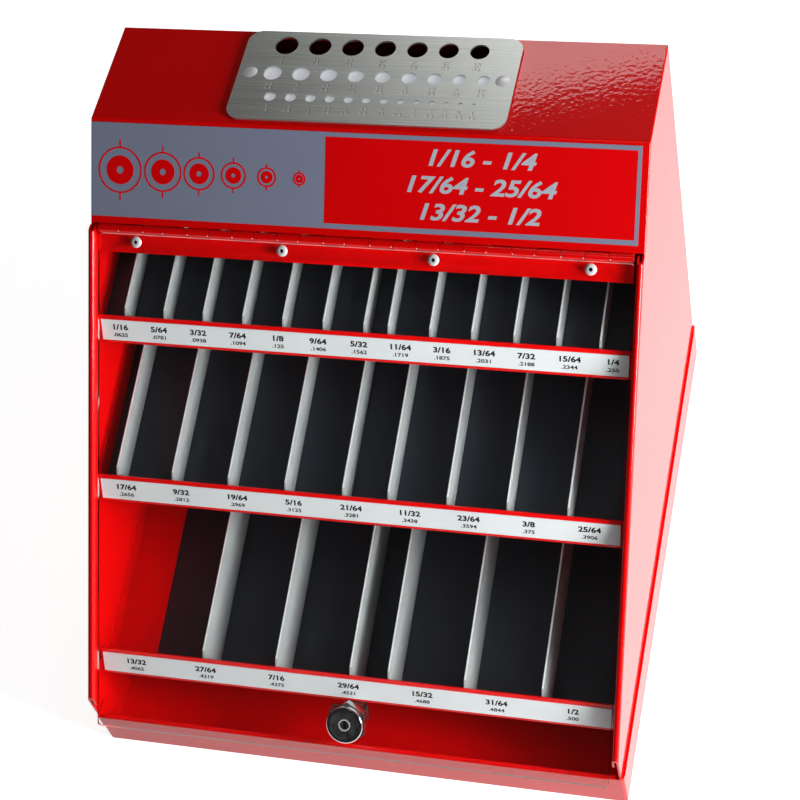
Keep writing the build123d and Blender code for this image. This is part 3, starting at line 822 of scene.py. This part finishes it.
signLines = [
    (words, signArt["wordsX"], signArt["lineStep"] * (1 - row), signArt["type"])
    for row, words in enumerate(signArt["words"])
]
numberPlane = signPlane @ Matrix.Translation((0, 0, signArt["ink"]))
makeMarks("signNumbers", numberPlane, signLines, signArt["ink"], inkSilver, "case")

# A row of falling rings with a spot in each, and a short bar above and below each
signRings = {
    "left": -0.1340,
    "right": -0.0330,
    "crowding": 0.88,
    "count": 6,
    "largest": 0.0125,
    "step": 0.0018,
    "line": 0.0009,
    "spot": (0.62, 0.16),
    "barWidth": 0.0008,
    "barReach": 1.3,
}
ringRow, ringBars = [], []
for i in range(signRings["count"]):
    share = (i / (signRings["count"] - 1)) ** signRings["crowding"]
    x = signRings["left"] + (signRings["right"] - signRings["left"]) * share
    outer = signRings["largest"] - signRings["step"] * i
    spotOuter, spotInner = (outer * part for part in signRings["spot"])
    ringRow += [(x, 0.0, outer, outer - signRings["line"]), (x, 0.0, spotOuter, spotInner)]
    half, reach = signRings["barWidth"] / 2, outer * signRings["barReach"]
    ringBars.append(boxOutline(x - half, x + half, -reach, -outer))
    ringBars.append(boxOutline(x - half, x + half, outer, reach))
rings = ringMesh("signRings", ringRow, signArt["ink"])
rings.transform(signPlane)
placePiece("signRings", rings, inkRed, "case")
bars = plateMesh("signRingBars", ringBars, signArt["ink"])
bars.transform(signPlane)
placePiece("signRingBars", bars, inkRed, "case")
print("sign printed")

# Near-black discs down in the heads of the door rivets: the ends of the broken mandrels, coloured
# black as a painted shade of the hollow heads
mandrels = {
    "down": 0.0655,
    "out": 0.0022,
    "pitch": 0.08270,
    "count": 4,
    "radius": 0.00105,
    "thick": 0.0001,
}
for i in range(mandrels["count"]):
    x = (i - (mandrels["count"] - 1) / 2) * mandrels["pitch"]
    name = "shadedRivetMandrel" + str(i + 1)
    disc = ringMesh(name, [(0.0, 0.0, mandrels["radius"], 0.0)], mandrels["thick"])
    disc.transform(facePlane(mandrels["down"], mandrels["out"], x))
    placePiece(name, disc, inkBlack, "door")

# Small bright spots at the ends of the hinge's fixed knuckles: painted glints, where those ends
# would catch the light. They stand on the barrel, turned towards the top by the lean
hingeGlints = {
    "pitch": 0.0127,
    "barrel": 0.00237,
    "radius": 0.00034,
    "thick": 0.00008,
    "inset": 0.0006,
    "lean": math.radians(24),
    "steps": 16,
}
pinLow, pinHigh = (Vector(corner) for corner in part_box("hinge_pin"))
pinMiddle = (pinLow + pinHigh) / 2
knuckleCount = round((pinHigh.x - pinLow.x) / hingeGlints["pitch"])
spots = []
for k in range(1, knuckleCount):
    side = 1 if k % 2 == 0 else -1
    x = pinLow.x + k * hingeGlints["pitch"] + side * hingeGlints["inset"]
    turned = Matrix.Rotation(case["faceAngle"] + hingeGlints["lean"], 4, "X")
    around = Matrix.Translation((x, pinMiddle.y, pinMiddle.z)) @ turned
    disc = [(0.0, 0.0, hingeGlints["radius"], 0.0)]
    spot = ringMesh("hingeGlintSpot", disc, hingeGlints["thick"], hingeGlints["steps"])
    spot.transform(around @ Matrix.Translation((0, 0, hingeGlints["barrel"])))
    spots.append(spot)
spotMesh = bpy.data.meshes.new("hingePaintedGlints")
joinMeshes(spotMesh, spots)
# The spots take the rivets' white, as painted glints
placePiece("hingePaintedGlints", spotMesh, rivetAndGlintWhite, "case")
print("rivet ends and hinge spots placed")

# Bright ring of the inner plug, around the keyway
plugRing = {"down": 0.32336, "out": 0.0038, "outer": 0.0033, "inner": 0.00272, "thick": 0.0001}
ringSize = (0.0, 0.0, plugRing["outer"], plugRing["inner"])
ring = ringMesh("lockPlugRing", [ringSize], plugRing["thick"])
ring.transform(facePlane(plugRing["down"], plugRing["out"]))
placePiece("lockPlugRing", ring, rivetAndGlintWhite, "lock")

# The gauge's numbers: each stands in two lines, one dark, the numeral drawn with painted shadow,
# and one thin and light, a painted glint, that lies a little up and to the left
gaugeMarks = {
    "topZ": 0.2778,
    "backY": 0.1503,
    "lineRise": 0.00155,
    "ink": 0.00002,
    "dark": {"height": 0.0021, "width": 1.5, "bold": 0.00014, "slant": 0.0},
    "lit": {"height": 0.0021, "width": 1.5, "bold": 0.00004, "slant": 0.0},
    "litShift": (-0.00022, -0.00016, 0.00002),
    "sizeUnit": 0.0254 / 64,
    "rows": (  # first x, gap between holes, sizes in 64ths, inset of the numbers from the back
        (-0.0534, 0.0063, range(32, 25, -1), 0.0212),
        (-0.0566, 0.0061, range(25, 16, -1), 0.0394),
        (-0.0541, 0.0053, range(16, 3, -1), 0.0548),
    ),
}


def gaugeLines(style):
    lines = []
    rise = gaugeMarks["lineRise"]
    for startX, gap, sizes, inset in gaugeMarks["rows"]:
        x, y = startX, gaugeMarks["backY"] - inset
        previous = sizes[0]
        for size in sizes:
            if size != previous:
                x += (size + previous) / 2 * gaugeMarks["sizeUnit"] + gap
            top, bottom = sizeWords(size)[0].split("/")
            lines += [(top, x, y + rise, style), (bottom, x, y - rise, style)]
            previous = size
    return lines


gaugePlane = Matrix.Translation((0, 0, gaugeMarks["topZ"]))
litPlane = gaugePlane @ Matrix.Translation(gaugeMarks["litShift"])
for name, plane, style, material in (
    ("gaugeNumbers", gaugePlane, "dark", stampDark),
    ("gaugeNumberGlints", litPlane, "lit", stampLight),
):
    lines = gaugeLines(gaugeMarks[style])
    makeMarks(name, plane, lines, gaugeMarks["ink"], material, "case")
print("gauge numbers stamped")


# The plain room: pale floor, soft lamps and the camera
room = {
    "floorSize": 3.0,
    "floorColour": (0.90, 0.90, 0.90, 1),
    "floorRoughness": 0.8,
    "floorSpecular": 0.1,
    "lens": 92.67,
    "sensor": 36.0,
    "nearest": 0.01,
    "farthest": 20.0,
    "cameraPlace": (0.29750, -0.59066, 1.06252),
    "cameraTurn": (34.538, 9.605, 11.758),
    "floorGlow": 0.86,
    "floorMirrorGlow": 0.68,
    "worldStrength": 0.02,
}


# One for what the camera sees, bare or straight through the clear sheet
def seenStraight(tree, path):
    bounces = calc(tree, "ADD", path.outputs["Glossy Depth"], path.outputs["Diffuse Depth"])
    straight = calc(tree, "SUBTRACT", 1.0, bounces, True)
    through = calc(tree, "MULTIPLY", path.outputs["Is Transmission Ray"], straight)
    return calc(tree, "MAXIMUM", path.outputs["Is Camera Ray"], through)


def makeFloor():
    half = room["floorSize"] / 2
    corners = [(x, y, 0) for x, y in boxOutline(-half, half, -half, half)]
    mesh = makeMesh("floor", corners, [(0, 1, 2, 3)])
    floor = bpy.data.objects.new("floor", mesh)
    scene.collection.objects.link(floor)
    material, tree, surface = startMaterial("floorWhite")
    surface.inputs["Base Color"].default_value = room["floorColour"]
    surface.inputs["Roughness"].default_value = room["floorRoughness"]
    surface.inputs["Specular IOR Level"].default_value = room["floorSpecular"]
    path = addNode(tree, "ShaderNodeLightPath")
    direct = calc(tree, "MULTIPLY", seenStraight(tree, path), room["floorGlow"])
    mirrored = calc(tree, "MULTIPLY", path.outputs["Is Glossy Ray"], room["floorMirrorGlow"])
    surface.inputs["Emission Color"].default_value = (1, 1, 1, 1)
    tree.links.new(calc(tree, "MAXIMUM", direct, mirrored), surface.inputs["Emission Strength"])
    mesh.materials.append(material)


def makeWorld():
    world = bpy.data.worlds.new("studio")
    scene.world = world
    world.use_nodes = True
    tree = world.node_tree
    plain = tree.nodes["Background"]
    plain.inputs["Color"].default_value = (1, 1, 1, 1)
    plain.inputs["Strength"].default_value = room["worldStrength"]
    white = addNode(tree, "ShaderNodeBackground", values={"Color": (1, 1, 1, 1), "Strength": 1.0})
    path = addNode(tree, "ShaderNodeLightPath")
    mix = addNode(tree, "ShaderNodeMixShader")
    tree.links.new(seenStraight(tree, path), mix.inputs[0])
    tree.links.new(plain.outputs[0], mix.inputs[1])
    tree.links.new(white.outputs[0], mix.inputs[2])
    tree.links.new(mix.outputs[0], tree.nodes["World Output"].inputs["Surface"])


lamps = {  # place, aim, width, height, power
    "keyRight": ((1.00, -0.290, 0.487), (0.0, 0.0, 0.12), 0.32, 0.52, 18.5),
    "topBack": ((-0.0506, 1.1107, 1.1216), (0.2125, 0.219, 0.2116), 0.42, 0.30, 2.2),
    "high": ((0.10, -0.40, 1.75), (0.0, 0.0, 0.1), 0.60, 0.60, 1.0),
    "backLeft": ((-1.05, 1.30, 0.45), (0.0, 0.0, 0.12), 0.60, 0.60, 2.0),
}


def makeLamps():
    for name, (place, aim, width, height, power) in lamps.items():
        data = bpy.data.lights.new(name, "AREA")
        data.shape = "RECTANGLE"
        data.size = width
        data.size_y = height
        data.energy = power
        lamp = bpy.data.objects.new(name, data)
        lamp.location = place
        towards = Vector(aim) - Vector(place)
        lamp.rotation_euler = towards.to_track_quat("-Z", "Y").to_euler()
        scene.collection.objects.link(lamp)


def makeCamera():
    data = bpy.data.cameras.new("camera")
    data.lens = room["lens"]
    data.sensor_width = room["sensor"]
    data.clip_start = room["nearest"]
    data.clip_end = room["farthest"]
    camera = bpy.data.objects.new("camera", data)
    camera.location = room["cameraPlace"]
    camera.rotation_euler = [math.radians(v) for v in room["cameraTurn"]]
    scene.collection.objects.link(camera)
    scene.camera = camera


makeFloor()
makeWorld()
makeLamps()
makeCamera()
scene.view_settings.view_transform = "Standard"
print("stage set")
